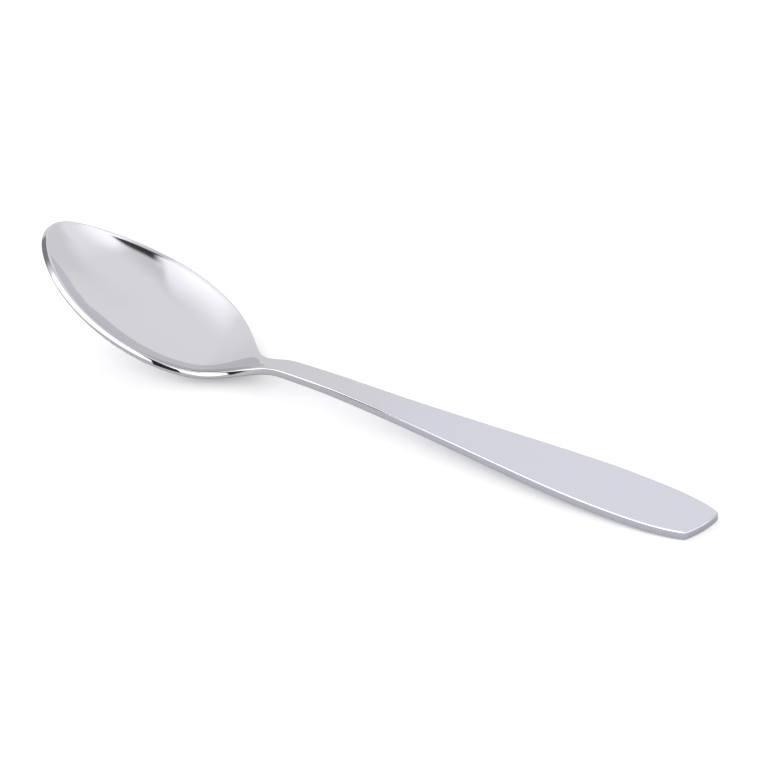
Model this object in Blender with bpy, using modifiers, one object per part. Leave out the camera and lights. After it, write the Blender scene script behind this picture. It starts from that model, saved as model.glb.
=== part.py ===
"""A baby spoon, stamped from one sheet of stainless steel and polished.

Metres, +Z up. The spoon lies along X, with the tip of its bowl at -X and the end of its handle at +X.
It rests on the plane Z = 0, under its bowl and under the end of its handle.
"""

from math import cos, radians, sin, tan

import bmesh
import bpy
import numpy
from mathutils import Vector
from mathutils.geometry import interpolate_bezier

MM = 0.001

# Stations along the spoon, from the tip of the bowl
LENGTH = 140 * MM
TIP_THINS_OVER = 14 * MM
BOWL_WIDEST_AT = 23.9 * MM
CONTACT_AT = 38.5 * MM
NECK_AT = 51.8 * MM
DISH_FADES_BEFORE_NECK = 5.6 * MM
DISH_FADE_LENGTH = 13.1 * MM
CREST_AFTER_NECK = 2.8 * MM
HANDLE_AFTER_NECK = 16.6 * MM
HANDLE_WIDEST_FROM_END = 18.6 * MM
CREST_AT = NECK_AT + CREST_AFTER_NECK
HANDLE_STARTS_AT = NECK_AT + HANDLE_AFTER_NECK
HANDLE_WIDEST_AT = LENGTH - HANDLE_WIDEST_FROM_END

# Widths of the outline, and how far each end of it is crowned
TIP_WIDTH = 11.9 * MM
TIP_CROWN = 2.95 * MM
BOWL_WIDTH = 28.6 * MM
NECK_WIDTH = 5 * MM
HANDLE_WIDTH = 14.14 * MM
END_WIDTH = 9.3 * MM
END_CROWN = 0.47 * MM
END_TAPER = radians(27)
END_CORNER_RADIUS = 0.4 * MM

# Reach of the outline's curves out of the tip, the widest places, the neck and the end
TIP_REACH = 6 * MM
BOWL_FRONT_REACH = 8.2 * MM
BOWL_BACK_REACH = 16.2 * MM
NECK_FRONT_REACH = 9.6 * MM
NECK_BACK_REACH = 31.9 * MM
HANDLE_FRONT_REACH = 15.1 * MM
HANDLE_BACK_REACH = 8.6 * MM
END_REACH = 4.2 * MM

# Heights of the underside, and the hollow of the bowl
TIP_HEIGHT = 17.1 * MM
TIP_RISE = radians(36.3)
CREST_HEIGHT = 3.59 * MM
HANDLE_HEIGHT = 3.36 * MM
BOWL_DEPTH = 4.5 * MM
TIP_SINK = 1.36 * MM
TIP_SINK_LENGTH = 16.4 * MM
BOWL_RISE = 0.88 * MM
BOWL_RISE_FROM = 13.3 * MM

# The sheet's thickness, and the rounding of its edge
TIP_GAUGE = 1.4 * MM
BOWL_GAUGE = 1.2 * MM
HANDLE_GAUGE = 1.45 * MM
EDGE_RADIUS = 0.4 * MM
EDGE_SHARPER_THAN = radians(60)

# The finish
STEEL_COLOUR = 0.75, 0.75, 0.79, 1
STEEL_ROUGHNESS = 0.1

# Counts of faces along each span, across the spoon and round its corners and edge
FRONT_ROWS = 14
HEEL_ROWS = 15
NECK_ROWS = 8
HANDLE_ROWS = 9
END_ROWS = 8
COLUMNS = 11
OUTLINE_STEPS = 100
CORNER_STEPS = 3
EDGE_STEPS = 2


def ease(x, start, length):
    """Smooth step from 0 before a station to 1 after it."""
    share = min(max((x - start) / length, 0), 1)
    return share * share * (3 - 2 * share)


def curve(x, start, rise_in, finish, rise_out):
    """Height at a station on a cubic between two points with given slopes."""
    span = finish.x - start.x
    share = (x - start.x) / span
    left = 1 - share
    height = start.y * left * left * (1 + 2 * share) + finish.y * share * share * (1 + 2 * left)
    return height + span * share * left * (rise_in * left - rise_out * share)


def keel(x):
    """Height at which the section at a station is set, before sink() lowers or raises its middle."""
    tip = Vector((0, TIP_HEIGHT))
    contact = Vector((CONTACT_AT, 0))
    crest = Vector((CREST_AT, CREST_HEIGHT))
    handle = Vector((HANDLE_STARTS_AT, HANDLE_HEIGHT))
    fall = -HANDLE_HEIGHT / (LENGTH - HANDLE_STARTS_AT)
    if x < CONTACT_AT:
        return curve(x, tip, -tan(TIP_RISE), contact, 0)
    if x < CREST_AT:
        return curve(x, contact, 0, crest, 0)
    if x < HANDLE_STARTS_AT:
        return curve(x, crest, 0, handle, fall)
    return HANDLE_HEIGHT + fall * (x - HANDLE_STARTS_AT)


def dish(x):
    """Share of the bowl's hollow at a station: 1 in the bowl and 0 on the flat handle."""
    return 1 - ease(x, NECK_AT - DISH_FADES_BEFORE_NECK, DISH_FADE_LENGTH)


def sink(x):
    """How far a section's middle lies under the shared parabola: below it near the tip, above it behind."""
    front = min(x / TIP_SINK_LENGTH, 1)
    back = min(max((x - BOWL_RISE_FROM) / (CONTACT_AT - BOWL_RISE_FROM), 0), 1)
    # The factors 27 / 4 and 16 give each of the two swells a height of 1
    lowered = 27 / 4 * front * (1 - front) ** 2
    raised = 16 * (back * (1 - back)) ** 2
    return TIP_SINK * lowered - BOWL_RISE * raised


def underside(x, y, half_width):
    """Height of the underside: the rim follows one shared parabola, and each section hangs from it."""
    shared = keel(x) + dish(x) * BOWL_DEPTH * (2 * y / BOWL_WIDTH) ** 2
    return shared - sink(x) * (1 - (y / half_width) ** 2)


def gauge(x):
    """Thickness of the sheet at a station."""
    at_tip = TIP_GAUGE + ease(x, 0, TIP_THINS_OVER) * (BOWL_GAUGE - TIP_GAUGE)
    return at_tip + (1 - dish(x)) * (HANDLE_GAUGE - BOWL_GAUGE)


def outline():
    """Stations and half widths along one side, closely spaced from the tip to the end's corner."""
    along = Vector((1, 0))
    out_of_tip = Vector((2 * TIP_CROWN, TIP_WIDTH / 2)).normalized()
    into_end = Vector((cos(END_TAPER), -sin(END_TAPER)))
    tip = Vector((TIP_CROWN, TIP_WIDTH / 2))
    bowl = Vector((BOWL_WIDEST_AT, BOWL_WIDTH / 2))
    neck = Vector((NECK_AT, NECK_WIDTH / 2))
    handle = Vector((HANDLE_WIDEST_AT, HANDLE_WIDTH / 2))
    end = Vector((LENGTH - END_CROWN, END_WIDTH / 2))
    spans = (
        (tip, tip + TIP_REACH * out_of_tip, bowl - BOWL_FRONT_REACH * along, bowl),
        (bowl, bowl + BOWL_BACK_REACH * along, neck - NECK_FRONT_REACH * along, neck),
        (neck, neck + NECK_BACK_REACH * along, handle - HANDLE_FRONT_REACH * along, handle),
        (handle, handle + HANDLE_BACK_REACH * along, end - END_REACH * into_end, end),
    )
    points = [Vector((TIP_CROWN * part * part, TIP_WIDTH / 2 * part))
              for part in numpy.linspace(0, 1, OUTLINE_STEPS)[1:]]
    for knots in spans:
        points += interpolate_bezier(*knots, OUTLINE_STEPS)[1:]
    return numpy.transpose(points)


def row_stations():
    """Stations of the rows of faces, from the tip's round to the end's corner."""
    breaks = (TIP_CROWN, BOWL_WIDEST_AT, NECK_AT, HANDLE_STARTS_AT, HANDLE_WIDEST_AT, LENGTH - END_CROWN)
    counts = (FRONT_ROWS, HEEL_ROWS, NECK_ROWS, HANDLE_ROWS, END_ROWS)
    stations = [TIP_CROWN]
    for start, finish, rows in zip(breaks, breaks[1:], counts):
        stations.extend(numpy.linspace(start, finish, rows + 1)[1:])
    return stations


def crown(x):
    """How far the middle of a row lies beyond its ends, towards the nearer end of the spoon."""
    to_bowl = max((BOWL_WIDEST_AT - x) / (BOWL_WIDEST_AT - TIP_CROWN), 0)
    past_handle = max(x - HANDLE_WIDEST_AT, 0) / (HANDLE_WIDEST_FROM_END - END_CROWN)
    return END_CROWN * past_handle - TIP_CROWN * to_bowl


def spoon_mesh():
    """The underside as an open surface: a grid whose rows are laid along the outline and then formed."""
    stations = row_stations()
    edge = outline()
    half_widths = numpy.interp(stations, *edge)
    last_row = len(stations) - 1
    bm = bmesh.new()
    bmesh.ops.create_grid(bm, x_segments=last_row, y_segments=COLUMNS, size=1)
    corners = []
    for vert in bm.verts:
        row = round((vert.co.x + 1) / 2 * last_row)
        across = vert.co.y
        vert.co.x = stations[row] + crown(stations[row]) * (1 - across * across)
        vert.co.y = across * half_widths[row]
        if row == last_row and abs(across) > 1 - 1 / COLUMNS:
            corners.append(vert)
    bmesh.ops.bevel(bm, geom=corners, affect="VERTICES", offset=END_CORNER_RADIUS,
                    segments=CORNER_STEPS, profile=0.5, clamp_overlap=True)
    for vert in bm.verts:
        vert.co.z = underside(vert.co.x, vert.co.y, numpy.interp(vert.co.x, *edge))
    mesh = bpy.data.meshes.new("spoon")
    bm.to_mesh(mesh)
    bm.free()
    mesh.shade_smooth()
    return mesh


def polished_steel():
    """Bright stainless steel with a slightly cool cast."""
    material = bpy.data.materials.new("polished_steel")
    material.use_nodes = True
    shader = material.node_tree.nodes["Principled BSDF"]
    shader.inputs["Base Color"].default_value = STEEL_COLOUR
    shader.inputs["Metallic"].default_value = 1
    shader.inputs["Roughness"].default_value = STEEL_ROUGHNESS
    return material


def make_spoon(collection):
    """The whole spoon: the formed surface, given its gauge upwards and a rounded edge."""
    spoon = bpy.data.objects.new("spoon", spoon_mesh())
    spoon.location.x = -LENGTH / 2
    spoon.data.materials.append(polished_steel())
    collection.objects.link(spoon)

    thickness = spoon.vertex_groups.new(name="gauge")
    thickest = max(TIP_GAUGE, BOWL_GAUGE, HANDLE_GAUGE)
    for vert in spoon.data.vertices:
        thickness.add([vert.index], gauge(vert.co.x) / thickest, "REPLACE")
    sheet = spoon.modifiers.new("Sheet", "SOLIDIFY")
    sheet.thickness = thickest
    sheet.offset = 1
    sheet.use_even_offset = True
    sheet.vertex_group = thickness.name

    rounding = spoon.modifiers.new("Rounded edge", "BEVEL")
    rounding.width = EDGE_RADIUS
    rounding.segments = EDGE_STEPS
    rounding.limit_method = "ANGLE"
    rounding.angle_limit = EDGE_SHARPER_THAN
    return spoon


for old in list(bpy.data.objects):
    bpy.data.objects.remove(old)
baby_spoon = bpy.data.collections.new("baby_spoon")
bpy.context.scene.collection.children.link(baby_spoon)
make_spoon(baby_spoon)
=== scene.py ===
"""A polished steel baby spoon on a white table, under soft studio light.

Metres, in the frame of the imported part: the tip of the bowl at -X, the end of the handle at +X and +Z up.
"""
from math import cos, pi, radians, sin, tan

import bmesh
import bpy
import numpy
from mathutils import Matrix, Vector
from mathutils.geometry import interpolate_bezier


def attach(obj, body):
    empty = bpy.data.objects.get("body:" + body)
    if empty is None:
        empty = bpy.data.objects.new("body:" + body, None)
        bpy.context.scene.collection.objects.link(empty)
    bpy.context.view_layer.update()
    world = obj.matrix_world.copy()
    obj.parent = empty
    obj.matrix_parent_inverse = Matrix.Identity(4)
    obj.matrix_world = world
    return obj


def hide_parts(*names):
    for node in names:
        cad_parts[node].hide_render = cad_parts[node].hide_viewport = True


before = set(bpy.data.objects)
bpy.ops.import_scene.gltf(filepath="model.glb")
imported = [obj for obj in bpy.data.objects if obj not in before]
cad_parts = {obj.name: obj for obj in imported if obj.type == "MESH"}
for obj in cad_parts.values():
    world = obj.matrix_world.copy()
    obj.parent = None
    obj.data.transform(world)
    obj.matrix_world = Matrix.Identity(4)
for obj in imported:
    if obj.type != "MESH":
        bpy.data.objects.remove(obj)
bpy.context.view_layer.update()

MM = 0.001

# Stations along the spoon, from the tip of the bowl
LENGTH = 140 * MM
TIP_THINS_OVER = 14 * MM
BOWL_WIDEST_AT = 23.9 * MM
CONTACT_AT = 38.5 * MM
DISH_FADES_AT = 46.2 * MM
DISH_FADE_LENGTH = 13.1 * MM
NECK_AT = 51.8 * MM
CREST_AT = 54.6 * MM
HANDLE_STARTS_AT = 68.4 * MM
HANDLE_WIDEST_AT = 121.4 * MM

# Widths of the outline, how far each end is crowned, and the reach of its curves
TIP_WIDTH = 11.9 * MM
TIP_CROWN = 2.95 * MM
TIP_REACH = 6 * MM
BOWL_WIDTH = 28.6 * MM
BOWL_REACHES = 8.2 * MM, 16.2 * MM
NECK_WIDTH = 5 * MM
NECK_REACHES = 9.6 * MM, 31.9 * MM
HANDLE_WIDTH = 14.14 * MM
HANDLE_REACHES = 15.1 * MM, 8.6 * MM
END_WIDTH = 9.3 * MM
END_CROWN = 0.47 * MM
END_TAPER = radians(27)
END_REACH = 4.2 * MM
END_CORNER_RADIUS = 0.4 * MM

# Heights of the underside, and the hollow of the bowl
TIP_HEIGHT = 17.1 * MM
TIP_RISE = radians(36.3)
CREST_HEIGHT = 3.59 * MM
HANDLE_HEIGHT = 3.36 * MM
BOWL_DEPTH = 4.5 * MM
TIP_SINK = 1.36 * MM
TIP_SINK_LENGTH = 16.4 * MM
BOWL_RISE = 0.88 * MM
BOWL_RISE_FROM = 13.3 * MM

# The sheet's gauge, the rounding of its edge and the band of faces next to it
TIP_GAUGE = 1.4 * MM
BOWL_GAUGE = 1.2 * MM
HANDLE_GAUGE = 1.45 * MM
EDGE_RADIUS = 0.3 * MM
EDGE_SHARPER_THAN = radians(60)
EDGE_BAND = 1 * MM

# Counts of faces: along each span, across the spoon, round its corners and round its edge
ROWS = 36, 44, 34, 32, 24
COLUMNS = 34
OUTLINE_STEPS = 200
CORNER_STEPS = 4
EDGE_STEPS = 5

# The photograph's view
VIEW_AZIMUTH = radians(38.71)
VIEW_ELEVATION = radians(23.98)
VIEW_DISTANCE = 653 * MM
VIEW_CENTRE = Vector((4.36 * MM, 0, 7.93 * MM))
LENS = 185.5

# Brightness of each part of the studio, as the steel sees it
TENT_LIGHT = 0.85
LEFT_WALL_LIGHT = 0.785
END_BOX_LIGHT = 1.35
BACK_WALL_LIGHT = 0.755
SIDE_CARD_LIGHT = 0.25
FRONT_WALL_LIGHT = 0.55
FRONT_BOX_LIGHT = 2
SIDE_GLOW_LIGHT = 0.93
SIDE_BOX_LIGHT = 1.3
GAP_SHADE_LIGHT = 0.68
GAP_LIGHT = 0.04
TOP_BOX_LIGHT = 1.52

# The dome that lights the table, how far its light leans along X, and the backdrop that the camera sees
DOME_LIGHT = 3
DOME_LEAN = -0.4
BACKDROP_LIGHT = 1.05

# Upright panels, in degrees: bearing, half width, low edge, high edge, softness of the sides and the ends
LEFT_WALL = -80, 43, -40, 48, 4, 18
END_BOX = 52, 20, 0, 28, 5, 4
BACK_WALL = 14, 27, -40, 45, 8, 15
SIDE_CARD = -90, 14, 2, 54, 4, 5
SIDE_BOX = 115, 30, 20, 75, 25, 8
FRONT_WALL = 180, 70, -10, 22, 3, 3
FRONT_BOX = -177.5, 67, 14.5, 60, 2.5, 4.5

# Straight edges overhead: bearing in degrees, distance from the zenith over the height, and softness
SIDE_GLOW_INNER = 90, 0.3, 0.2
GAP_SHADE = 220, -0.158, 0.07
GAP_INNER = 201, -0.054, 0.014
GAP_RIGHT = 66, 0.46, 0.05
TOP_BOX_BACK = 55, 0.083, 0.02
TOP_BOX_LEFT = -90, 0.235, 0.2
TOP_BOX_FADE = 215, -0.04, 0.2

# The least height of a direction that such a distance is divided by
LOWEST_HEIGHT = 0.02

# The steel: its own colour in the bowl, a painted reflection tint (cooler and lighter) on the handle and
# where that paint comes in, its tint at grazing angles and its gloss
BOWL_COLOUR = 0.776, 0.768, 0.82, 1
HANDLE_PAINTED_REFLECTION_COLOUR = 0.795, 0.795, 0.9, 1
EDGE_TINT = 0.9, 0.9, 0.885, 1
PAINTED_REFLECTION_FROM = 0 * MM
PAINTED_REFLECTION_TO = 18 * MM
ROUGHNESS_LOW = 0.035
ROUGHNESS_HIGH = 0.07

# The polishing lines: how many to a metre across and along the spoon, their detail and their height
LINES_ACROSS = 6000
LINES_ALONG = 72
LINES_DETAIL = 2
LINE_HEIGHT = 0.0004 * MM

# The dark card in front of the bowl, seen only in the steel
CARD_CENTRE = -22.7 * MM, -30 * MM
CARD_WIDTH = 13.5 * MM
CARD_BOTTOM = 6 * MM
CARD_TOP = 110 * MM
CARD_COLOUR = 0.02, 0.02, 0.025, 1

# The table: half its size, its left edge, and its colour and glow, mirrored in the steel and seen directly
TABLE_HALF_SIZE = 4
TABLE_LEFT_EDGE = -170 * MM
TABLE_COLOUR_MIRRORED = 0.62, 0.62, 0.625, 1
TABLE_COLOUR_SEEN = 0.87, 0.87, 0.885, 1
TABLE_GLOW_MIRRORED = 0, 0, 0, 1
TABLE_GLOW_SEEN = 0.3, 0.3, 0.3, 1

# Places of a Mix node's two colours among its inputs, and of the mixed one among its outputs
MIX_FIRST = 6
MIX_SECOND = 7
MIX_RESULT = 2


def ease(x, start, length):
    """Smooth step from 0 before a station to 1 after it."""
    share = min(max((x - start) / length, 0), 1)
    return share * share * (3 - 2 * share)


def curve(x, start, rise_in, finish, rise_out):
    """Height at a station on a cubic between two points with given slopes."""
    span = finish.x - start.x
    share = (x - start.x) / span
    left = 1 - share
    height = start.y * left * left * (1 + 2 * share) + finish.y * share * share * (1 + 2 * left)
    return height + span * share * left * (rise_in * left - rise_out * share)


def keel(x):
    """Height at which the section at a station is set, before sink() lowers or raises its middle."""
    tip = Vector((0, TIP_HEIGHT))
    contact = Vector((CONTACT_AT, 0))
    crest = Vector((CREST_AT, CREST_HEIGHT))
    handle = Vector((HANDLE_STARTS_AT, HANDLE_HEIGHT))
    fall = -HANDLE_HEIGHT / (LENGTH - HANDLE_STARTS_AT)
    if x < CONTACT_AT:
        return curve(x, tip, -tan(TIP_RISE), contact, 0)
    if x < CREST_AT:
        return curve(x, contact, 0, crest, 0)
    if x < HANDLE_STARTS_AT:
        return curve(x, crest, 0, handle, fall)
    return HANDLE_HEIGHT + fall * (x - HANDLE_STARTS_AT)


def dish(x):
    """Share of the bowl's hollow at a station: 1 in the bowl and 0 on the flat handle."""
    return 1 - ease(x, DISH_FADES_AT, DISH_FADE_LENGTH)


def sink(x):
    """How far a section's middle lies under the shared parabola: below it near the tip, above it behind."""
    front = min(x / TIP_SINK_LENGTH, 1)
    back = min(max((x - BOWL_RISE_FROM) / (CONTACT_AT - BOWL_RISE_FROM), 0), 1)
    # The factors 27 / 4 and 16 give each of the two swells a height of 1
    lowered = 27 / 4 * front * (1 - front) ** 2
    raised = 16 * (back * (1 - back)) ** 2
    return TIP_SINK * lowered - BOWL_RISE * raised


def underside(x, y, half_width):
    """Height of the underside: the rim follows one shared parabola, and each section hangs from it."""
    shared = keel(x) + dish(x) * BOWL_DEPTH * (2 * y / BOWL_WIDTH) ** 2
    return shared - sink(x) * (1 - (y / half_width) ** 2)


def gauge(x):
    """Thickness of the sheet at a station."""
    at_tip = TIP_GAUGE + ease(x, 0, TIP_THINS_OVER) * (BOWL_GAUGE - TIP_GAUGE)
    return at_tip + (1 - dish(x)) * (HANDLE_GAUGE - BOWL_GAUGE)


def outline():
    """Stations and half widths along one side, closely spaced from the tip to the end's corner."""
    along = Vector((1, 0))
    out_of_tip = Vector((2 * TIP_CROWN, TIP_WIDTH / 2)).normalized()
    into_end = Vector((cos(END_TAPER), -sin(END_TAPER)))
    tip = Vector((TIP_CROWN, TIP_WIDTH / 2))
    bowl = Vector((BOWL_WIDEST_AT, BOWL_WIDTH / 2))
    neck = Vector((NECK_AT, NECK_WIDTH / 2))
    handle = Vector((HANDLE_WIDEST_AT, HANDLE_WIDTH / 2))
    end = Vector((LENGTH - END_CROWN, END_WIDTH / 2))
    spans = (
        (tip, tip + TIP_REACH * out_of_tip, bowl - BOWL_REACHES[0] * along, bowl),
        (bowl, bowl + BOWL_REACHES[1] * along, neck - NECK_REACHES[0] * along, neck),
        (neck, neck + NECK_REACHES[1] * along, handle - HANDLE_REACHES[0] * along, handle),
        (handle, handle + HANDLE_REACHES[1] * along, end - END_REACH * into_end, end),
    )
    points = [Vector((TIP_CROWN * part * part, TIP_WIDTH / 2 * part))
              for part in numpy.linspace(0, 1, OUTLINE_STEPS)[1:]]
    for knots in spans:
        points += interpolate_bezier(*knots, OUTLINE_STEPS)[1:]
    return numpy.transpose(points)


def row_stations():
    """Stations of the rows of faces, with one band of a set width next to each end."""
    ends = TIP_CROWN, LENGTH - END_CROWN
    breaks = (TIP_CROWN + EDGE_BAND, BOWL_WIDEST_AT, NECK_AT, HANDLE_STARTS_AT, HANDLE_WIDEST_AT,
              LENGTH - END_CROWN - EDGE_BAND)
    stations = [ends[0], breaks[0]]
    for start, finish, rows in zip(breaks, breaks[1:], ROWS):
        stations.extend(numpy.linspace(start, finish, rows + 1)[1:])
    return stations + [ends[1]]


def crown(x):
    """How far the middle of a row lies beyond its ends, towards the nearer end of the spoon."""
    to_bowl = max((BOWL_WIDEST_AT - x) / (BOWL_WIDEST_AT - TIP_CROWN), 0)
    past_handle = max(x - HANDLE_WIDEST_AT, 0) / (LENGTH - END_CROWN - HANDLE_WIDEST_AT)
    return END_CROWN * past_handle - TIP_CROWN * to_bowl


def across(column, half_width):
    """Place of a column over its row from -1 to 1, with one band of a set width next to each edge."""
    if abs(column) > 1 - 1 / COLUMNS:
        return column
    return column / (1 - 2 / COLUMNS) * (1 - EDGE_BAND / half_width)


def spoon_mesh():
    """The underside as an open surface: a grid whose rows are laid along the outline and then formed."""
    stations = row_stations()
    edge = outline()
    half_widths = numpy.interp(stations, *edge)
    last_row = len(stations) - 1
    bm = bmesh.new()
    bmesh.ops.create_grid(bm, x_segments=last_row, y_segments=COLUMNS, size=1)
    corners = []
    for vert in bm.verts:
        row = round((vert.co.x + 1) / 2 * last_row)
        place = across(vert.co.y, half_widths[row])
        if row == last_row and abs(place) == 1:
            corners.append(vert)
        vert.co.x = stations[row] + crown(stations[row]) * (1 - place * place)
        vert.co.y = place * half_widths[row]
    bmesh.ops.bevel(bm, geom=corners, affect="VERTICES", offset=END_CORNER_RADIUS,
                    segments=CORNER_STEPS, profile=0.5, clamp_overlap=True)
    for vert in bm.verts:
        vert.co.z = underside(vert.co.x, vert.co.y, numpy.interp(vert.co.x, *edge))
    mesh = bpy.data.meshes.new("polished_spoon")
    bm.to_mesh(mesh)
    bm.free()
    mesh.shade_smooth()
    return mesh


class Shade:
    """A value in a shader: arithmetic on it adds Math nodes, and node() adds any other kind."""

    def __init__(self, tree, socket=None):
        self.tree = tree
        self.socket = socket

    def node(self, kind, settings, sockets, output=0):
        """Adds a node, sets it up, fills its sockets and gives one of its outputs."""
        added = self.tree.nodes.new("ShaderNode" + kind)
        for name, setting in settings.items():
            setattr(added, name, setting)
        for name, given in sockets.items():
            if isinstance(given, Shade):
                self.tree.links.new(given.socket, added.inputs[name])
            else:
                added.inputs[name].default_value = given
        return Shade(self.tree, added.outputs[output])

    def beside(self, output):
        """Another output of the same node."""
        return Shade(self.tree, self.socket.node.outputs[output])

    def math(self, operation, *values):
        """A Math node of the given operation on values or numbers."""
        return self.node("Math", {"operation": operation}, dict(enumerate(values)))

    def __add__(self, other):
        return self.math("ADD", self, other)

    def __sub__(self, other):
        return self.math("SUBTRACT", self, other)

    def __rsub__(self, other):
        return self.math("SUBTRACT", other, self)

    def __mul__(self, other):
        return self.math("MULTIPLY", self, other)

    def __truediv__(self, other):
        return self.math("DIVIDE", self, other)

    def __rtruediv__(self, other):
        return self.math("DIVIDE", other, self)

    __radd__ = __add__
    __rmul__ = __mul__

    def step(self, low, high):
        """0 up to low, 1 from high, and smooth between them."""
        return self.node("MapRange", {"interpolation_type": "SMOOTHSTEP"},
                         {"Value": self, "From Min": low, "From Max": high})

    def mix(self, first, second):
        """The first colour where this value is 0, the second where it is 1, and a blend between."""
        return self.node("Mix", {"data_type": "RGBA"},
                         {"Factor": self, MIX_FIRST: first, MIX_SECOND: second}, MIX_RESULT)


def polished_steel():
    """Bright steel with fine polishing lines along the spoon, and a painted reflection tint on the handle:
    its colour made cooler and lighter.
    """
    material = bpy.data.materials.new("polished_steel")
    material.use_nodes = True
    tree = material.node_tree
    shader = tree.nodes["Principled BSDF"]
    place = Shade(tree).node("TexCoord", {}, {}, "Object")
    along = place.node("SeparateXYZ", {}, {"Vector": place}, "X")
    stretched = place.node("VectorMath", {"operation": "MULTIPLY"},
                           {0: place, 1: (LINES_ALONG, LINES_ACROSS, LINES_ACROSS)})
    lines = place.node("TexNoise", {}, {"Vector": stretched, "Scale": 1, "Detail": LINES_DETAIL})
    bump = place.node("Bump", {}, {"Height": lines, "Distance": LINE_HEIGHT})
    # Painted reflection: the handle's base colour is made cooler and lighter, standing in for the cool part
    # of the studio that it mirrors
    painted_reflection_share = (along - LENGTH / 2).step(PAINTED_REFLECTION_FROM, PAINTED_REFLECTION_TO)
    colour = painted_reflection_share.mix(BOWL_COLOUR, HANDLE_PAINTED_REFLECTION_COLOUR)
    roughness = lines * (ROUGHNESS_HIGH - ROUGHNESS_LOW) + ROUGHNESS_LOW
    shader.inputs["Metallic"].default_value = 1
    shader.inputs["Specular Tint"].default_value = EDGE_TINT
    tree.links.new(colour.socket, shader.inputs["Base Color"])
    tree.links.new(roughness.socket, shader.inputs["Roughness"])
    tree.links.new(bump.socket, shader.inputs["Normal"])
    return material


class Sky:
    """Directions in the studio as shader values, and soft-edged areas of them."""

    def __init__(self, tree):
        ray = Shade(tree).node("TexCoord", {}, {}, "Generated")
        self.x = ray.node("SeparateXYZ", {}, {"Vector": ray}, "X")
        self.y, self.z = self.x.beside("Y"), self.x.beside("Z")
        height = self.z.math("MAXIMUM", self.z, LOWEST_HEIGHT)
        self.bearing = self.x.math("ARCTAN2", self.x, self.y)
        self.elevation = self.z.math("ARCSINE", self.z)
        self.across = self.x / height
        self.along = self.y / height

    def panel(self, faces, half_width, low, high, side_soft, end_soft):
        """1 inside an upright panel and 0 outside it. Its bearing runs from +Y towards +X."""
        off = self.bearing - radians(faces)
        off = off.math("ABSOLUTE", off.math("WRAP", off, pi, -pi))
        return (off.step(radians(half_width + side_soft), radians(half_width - side_soft))
                * self.elevation.step(radians(low - end_soft), radians(low + end_soft))
                * self.elevation.step(radians(high + end_soft), radians(high - end_soft)))

    def beyond(self, faces, distance, softness):
        """1 beyond a straight edge overhead and 0 before it."""
        reach = self.across * sin(radians(faces)) + self.along * cos(radians(faces))
        return reach.step(distance - softness, distance + softness)

    def before(self, faces, distance, softness):
        """1 before a straight edge overhead and 0 beyond it."""
        return 1 - self.beyond(faces, distance, softness)


def make_studio():
    """Soft light from all round: a pale tent, with softboxes and a dark gap laid over it in order."""
    world = bpy.data.worlds.new("studio")
    world.use_nodes = True
    background = world.node_tree.nodes["Background"]
    sky = Sky(world.node_tree)
    gap = sky.beyond(*GAP_INNER) * sky.beyond(*TOP_BOX_BACK) * sky.before(*GAP_RIGHT)
    top_box = sky.before(*TOP_BOX_BACK) * sky.before(*TOP_BOX_LEFT) * sky.beyond(*TOP_BOX_FADE)
    dome = (1 - sky.z) * (1 + sky.x * DOME_LEAN) * DOME_LIGHT
    by_camera = Shade(world.node_tree).node("LightPath", {}, {}, "Is Camera Ray")
    layers = (
        (sky.panel(*LEFT_WALL), LEFT_WALL_LIGHT),
        (sky.beyond(*SIDE_GLOW_INNER), SIDE_GLOW_LIGHT),
        (sky.panel(*BACK_WALL), BACK_WALL_LIGHT),
        (sky.panel(*SIDE_CARD), SIDE_CARD_LIGHT),
        (sky.panel(*SIDE_BOX), SIDE_BOX_LIGHT),
        (sky.panel(*END_BOX), END_BOX_LIGHT),
        (sky.beyond(*GAP_SHADE) * sky.beyond(*TOP_BOX_BACK), GAP_SHADE_LIGHT),
        (gap, GAP_LIGHT),
        (top_box, TOP_BOX_LIGHT),
        (sky.panel(*FRONT_WALL), FRONT_WALL_LIGHT),
        (sky.panel(*FRONT_BOX), FRONT_BOX_LIGHT),
        (by_camera.beside("Is Diffuse Ray"), dome),
        (by_camera, BACKDROP_LIGHT),
    )
    light = TENT_LIGHT
    for area, brightness in layers:
        light = light + area * (brightness - light)
    world.node_tree.links.new(light.socket, background.inputs["Strength"])
    background.inputs["Color"].default_value = (1, 1, 1, 1)
    bpy.context.scene.world = world
    bpy.context.scene.view_settings.view_transform = "Standard"


def add_object(name, data):
    """A new object in the scene."""
    made = bpy.data.objects.new(name, data)
    bpy.context.scene.collection.objects.link(made)
    return made


def make_spoon():
    """The whole spoon: the formed surface, given its gauge upwards and a rounded edge."""
    spoon = add_object("polished_spoon", spoon_mesh())
    spoon.location.x = -LENGTH / 2
    spoon.data.materials.append(polished_steel())
    thickness = spoon.vertex_groups.new(name="gauge")
    thickest = max(TIP_GAUGE, BOWL_GAUGE, HANDLE_GAUGE)
    for vert in spoon.data.vertices:
        thickness.add([vert.index], gauge(vert.co.x) / thickest, "REPLACE")
    sheet = spoon.modifiers.new("Sheet", "SOLIDIFY")
    sheet.thickness = thickest
    sheet.offset = 1
    sheet.use_even_offset = True
    sheet.vertex_group = thickness.name
    rounding = spoon.modifiers.new("Rounded edge", "BEVEL")
    rounding.width = EDGE_RADIUS
    rounding.segments = EDGE_STEPS
    rounding.limit_method = "ANGLE"
    rounding.angle_limit = EDGE_SHARPER_THAN
    rounding.use_clamp_overlap = False
    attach(spoon, "root")
    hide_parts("spoon")


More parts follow.
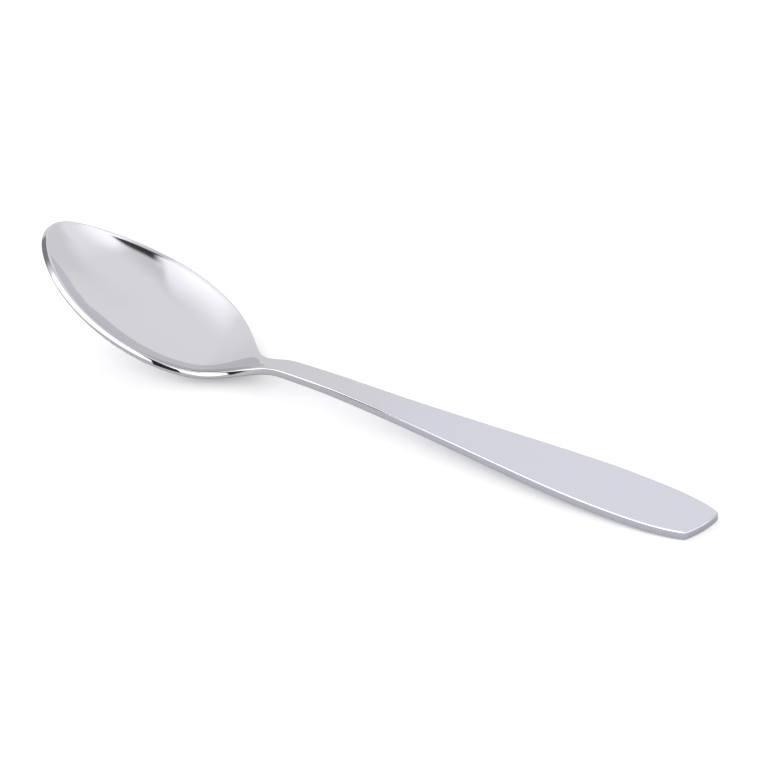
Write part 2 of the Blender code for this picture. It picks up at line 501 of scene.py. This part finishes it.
def stage_piece(name, corners):
    """A flat, dull piece of the stage through four corners, and its shader."""
    mesh = bpy.data.meshes.new(name)
    mesh.from_pydata(corners, [], [(0, 1, 2, 3)])
    material = bpy.data.materials.new(name)
    material.use_nodes = True
    mesh.materials.append(material)
    shader = material.node_tree.nodes["Principled BSDF"]
    shader.inputs["Roughness"].default_value = 1
    shader.inputs["Specular IOR Level"].default_value = 0
    piece = add_object(name, mesh)
    return piece, shader


def make_floor():
    """A white table, which glows a little as the camera sees it and is darker in the steel."""
    left, right = TABLE_LEFT_EDGE, TABLE_LEFT_EDGE + 2 * TABLE_HALF_SIZE
    near, far = -TABLE_HALF_SIZE, TABLE_HALF_SIZE
    _, shader = stage_piece("white_table", [(left, near, 0), (right, near, 0),
                                            (right, far, 0), (left, far, 0)])
    tree = shader.id_data
    seen = Shade(tree).node("LightPath", {}, {}, "Is Camera Ray")
    colour = seen.mix(TABLE_COLOUR_MIRRORED, TABLE_COLOUR_SEEN)
    glow = seen.mix(TABLE_GLOW_MIRRORED, TABLE_GLOW_SEEN)
    shader.inputs["Emission Strength"].default_value = 1
    tree.links.new(colour.socket, shader.inputs["Base Color"])
    tree.links.new(glow.socket, shader.inputs["Emission Color"])


def make_card():
    """A dark card in front of the bowl, seen only in the steel, as two short streaks on the near rim."""
    middle, y = CARD_CENTRE
    left, right = middle - CARD_WIDTH / 2, middle + CARD_WIDTH / 2
    card, shader = stage_piece("dark_card", [(left, y, CARD_BOTTOM), (right, y, CARD_BOTTOM),
                                             (right, y, CARD_TOP), (left, y, CARD_TOP)])
    shader.inputs["Base Color"].default_value = CARD_COLOUR
    card.visible_camera = card.visible_diffuse = card.visible_shadow = False


def make_camera():
    """The photograph's camera."""
    camera = add_object("photo_view", bpy.data.cameras.new("photo_view"))
    camera.data.lens = LENS
    back = Vector((sin(VIEW_AZIMUTH) * cos(VIEW_ELEVATION), -cos(VIEW_AZIMUTH) * cos(VIEW_ELEVATION),
                   sin(VIEW_ELEVATION)))
    camera.location = VIEW_CENTRE + VIEW_DISTANCE * back
    camera.rotation_euler = back.to_track_quat("Z", "Y").to_euler()
    bpy.context.scene.camera = camera


make_spoon()
make_floor()
make_card()
make_camera()
make_studio()
